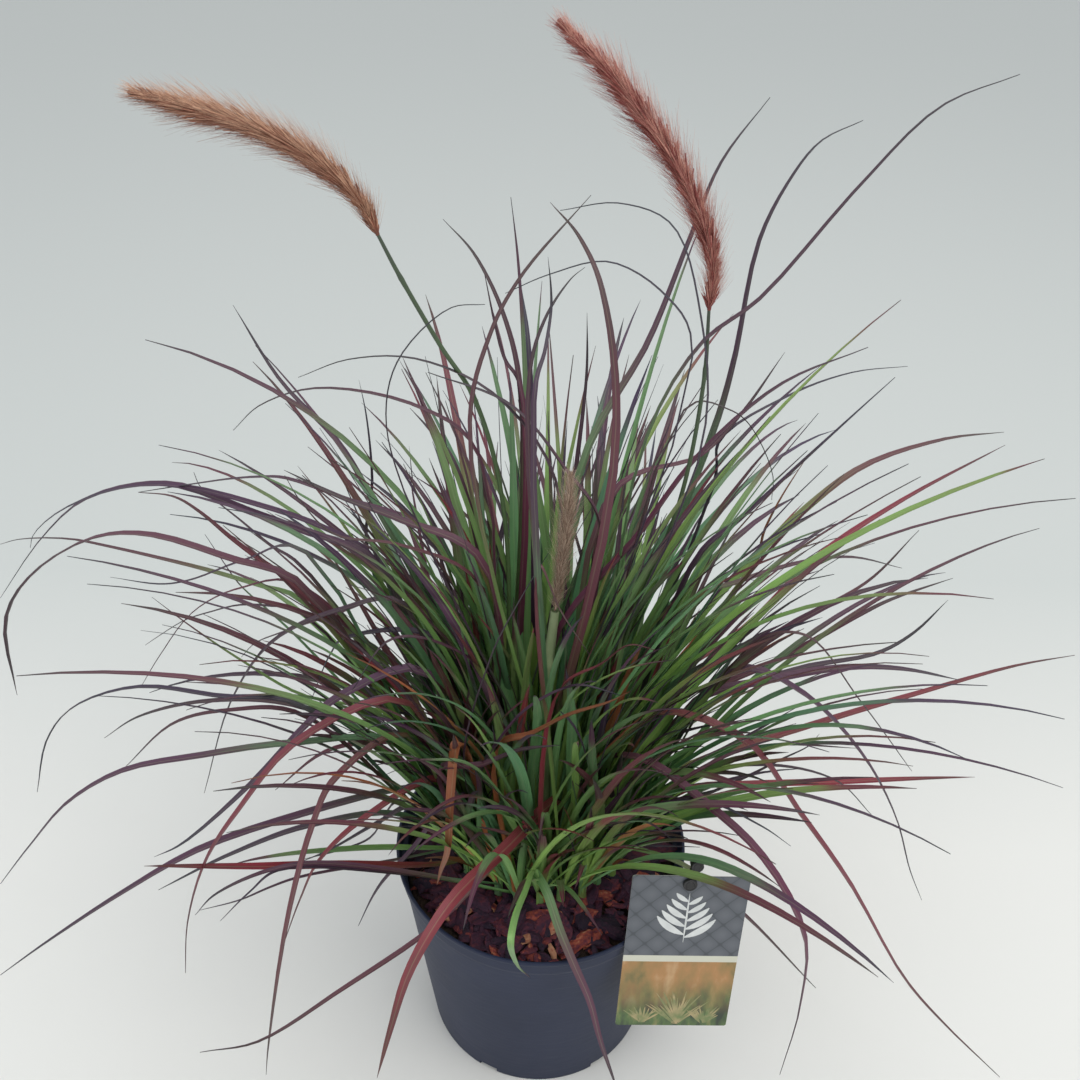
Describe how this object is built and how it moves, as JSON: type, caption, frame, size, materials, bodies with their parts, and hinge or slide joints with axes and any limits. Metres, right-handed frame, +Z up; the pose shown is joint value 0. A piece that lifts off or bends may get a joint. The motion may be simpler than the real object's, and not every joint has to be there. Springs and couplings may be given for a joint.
{
  "type": "potted ornamental grass",
  "caption": "Potted purple fountain grass: arching green-to-purple blades, bristly flower plumes, bark-mulched nursery pot and a clipped plant label.",
  "frame": {"origin": "centre of the pot's flat base, on the surface it stands on", "axes": "+Z up, -Y towards the front of the picture, +X to the picture's right"},
  "size_m": [0.7571, 0.5358, 0.6607],
  "materials": {
    "pot": "matte grained slate-grey plastic",
    "soil": "damp dark potting soil",
    "bark": "torn reddish-brown bark",
    "stalk": "smooth dark green stalk",
    "plume": "soft dusty-rose bristles",
    "young_plume": "pale tan bristles in a green sheath",
    "blade_green": "satin green blades",
    "blade_mixed": "satin green blades that turn brown-purple",
    "blade_purple": "satin purple blades with green bases",
    "label": "smooth printed plastic",
    "clip": "black moulded plastic"
  },
  "bodies": {
    "root": {"pot": "pot", "soil": "soil", "bark_mulch": "bark", "culm_left": "stalk", "plume_left": "plume", "culm_right": "stalk", "plume_right": "plume", "culm_young": "stalk", "plume_young": "young_plume", "shoot_01": "blade_green", "shoot_02": "blade_green", "shoot_03": "blade_green", "shoot_04": "blade_green", "shoot_05": "blade_green", "shoot_06": "blade_green", "shoot_07": "blade_green", "shoot_08": "blade_green", "shoot_09": "blade_green", "shoot_10": "blade_mixed", "shoot_11": "blade_mixed", "shoot_12": "blade_mixed", "shoot_13": "blade_mixed", "shoot_14": "blade_mixed", "shoot_15": "blade_mixed", "shoot_16": "blade_mixed", "shoot_17": "blade_mixed", "shoot_18": "blade_mixed", "shoot_19": "blade_mixed", "shoot_20": "blade_mixed", "shoot_21": "blade_mixed", "shoot_22": "blade_mixed", "shoot_23": "blade_mixed", "shoot_24": "blade_purple", "shoot_25": "blade_purple", "shoot_26": "blade_purple", "shoot_27": "blade_purple", "shoot_28": "blade_purple", "shoot_29": "blade_purple", "shoot_30": "blade_purple", "shoot_31": "blade_purple", "shoot_32": "blade_purple", "shoot_33": "blade_purple", "shoot_34": "blade_purple", "shoot_35": "blade_purple", "shoot_36": "blade_purple", "shoot_37": "blade_purple", "shoot_38": "blade_purple", "shoot_39": "blade_purple", "shoot_40": "blade_purple", "shoot_41": "blade_purple", "shoot_42": "blade_purple", "shoot_43": "blade_purple", "shoot_44": "blade_purple", "shoot_45": "blade_purple", "tag": "label", "tag_clip": "clip"}
  },
  "joints": []
}
